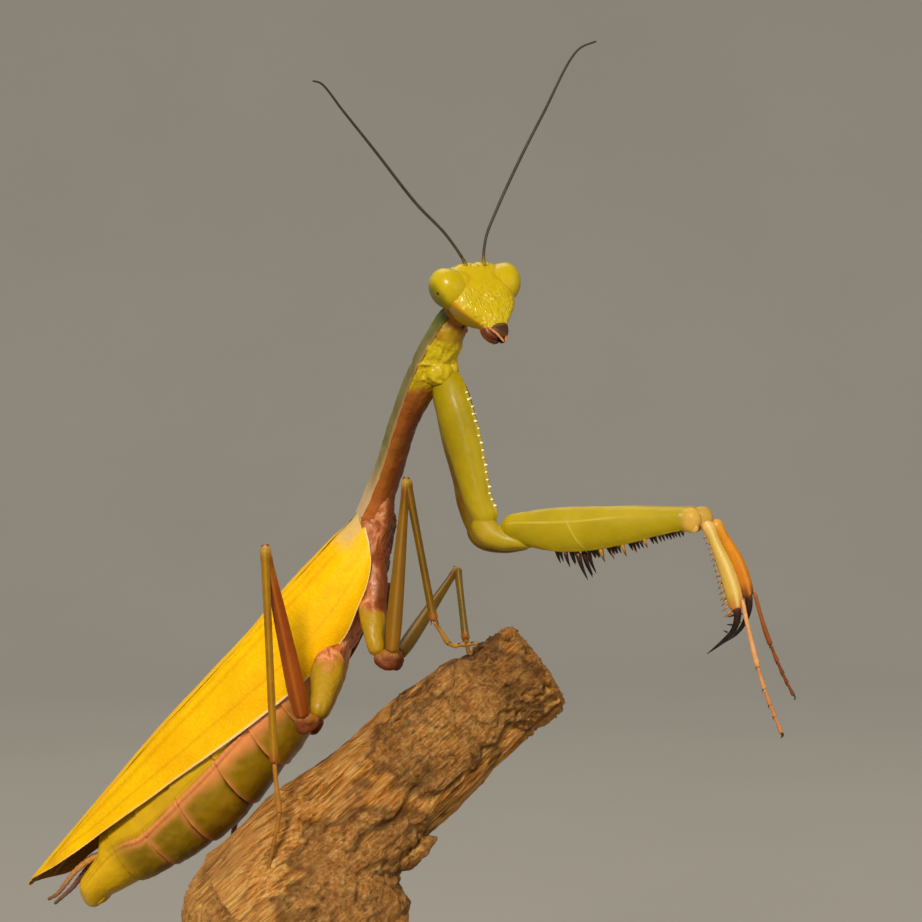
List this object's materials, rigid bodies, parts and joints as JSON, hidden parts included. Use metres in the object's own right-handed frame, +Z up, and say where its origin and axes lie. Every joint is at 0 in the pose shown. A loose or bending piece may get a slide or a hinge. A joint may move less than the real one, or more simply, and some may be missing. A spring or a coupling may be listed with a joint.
{
  "type": "praying mantis model",
  "caption": "Life-size praying mantis gripping a short cut length of branch, raised on a round base by one rod.",
  "frame": {"origin": "centre of the stand base's flat underside", "axes": "+X is the way the mantis heads, +Z is up, and its right side faces -Y"},
  "size_m": [0.0831, 0.064, 0.1176],
  "materials": {
    "head_shell": "satin",
    "eye": "glossy",
    "mouth": "satin",
    "feeler": "matt",
    "pronotum_plate": "satin",
    "prothorax_side": "satin",
    "thorax_skin": "satin",
    "abdomen": "satin",
    "cercus": "satin",
    "tegmen": "satin",
    "hind_wing": "satin",
    "fore_leg": "satin",
    "fore_tibia": "satin",
    "fore_tarsus": "satin",
    "leg_joint": "satin",
    "walking_leg": "satin",
    "bark": "rough",
    "stand_base": "satin",
    "stand_rod": "satin"
  },
  "bodies": {
    "root": {"head": "head_shell", "eye_right": "eye", "eye_left": "eye", "mouthparts": "mouth", "antenna_right": "feeler", "antenna_left": "feeler", "neck": "prothorax_side", "pronotum": "pronotum_plate", "prothorax": "prothorax_side", "fore_coxa_right": "fore_leg", "fore_trochanter_right": "fore_leg", "fore_femur_right": "fore_leg", "fore_tibia_right": "fore_tibia", "fore_tarsus_right": "fore_tarsus", "fore_coxa_left": "fore_leg", "fore_trochanter_left": "fore_leg", "fore_femur_left": "fore_leg", "fore_tibia_left": "fore_tibia", "fore_tarsus_left": "fore_tarsus", "thorax": "thorax_skin", "abdomen_1": "abdomen", "abdomen_2": "abdomen", "abdomen_3": "abdomen", "abdomen_4": "abdomen", "abdomen_5": "abdomen", "abdomen_6": "abdomen", "abdomen_7": "abdomen", "abdomen_tip": "abdomen", "tegmen_right": "tegmen", "hindwing_right": "hind_wing", "cercus_right": "cercus", "tegmen_left": "tegmen", "hindwing_left": "hind_wing", "cercus_left": "cercus", "mid_coxa_right": "walking_leg", "mid_trochanter_right": "leg_joint", "mid_femur_right": "walking_leg", "mid_tibia_right": "walking_leg", "mid_tarsus_right": "walking_leg", "mid_coxa_left": "walking_leg", "mid_trochanter_left": "leg_joint", "mid_femur_left": "walking_leg", "mid_tibia_left": "walking_leg", "mid_tarsus_left": "walking_leg", "hind_coxa_right": "walking_leg", "hind_trochanter_right": "leg_joint", "hind_femur_right": "walking_leg", "hind_tibia_right": "walking_leg", "hind_tarsus_right": "walking_leg", "hind_coxa_left": "walking_leg", "hind_trochanter_left": "leg_joint", "hind_femur_left": "walking_leg", "hind_tibia_left": "walking_leg", "hind_tarsus_left": "walking_leg", "perch": "bark", "stand_rod": "stand_rod", "stand_base": "stand_base"}
  },
  "joints": []
}
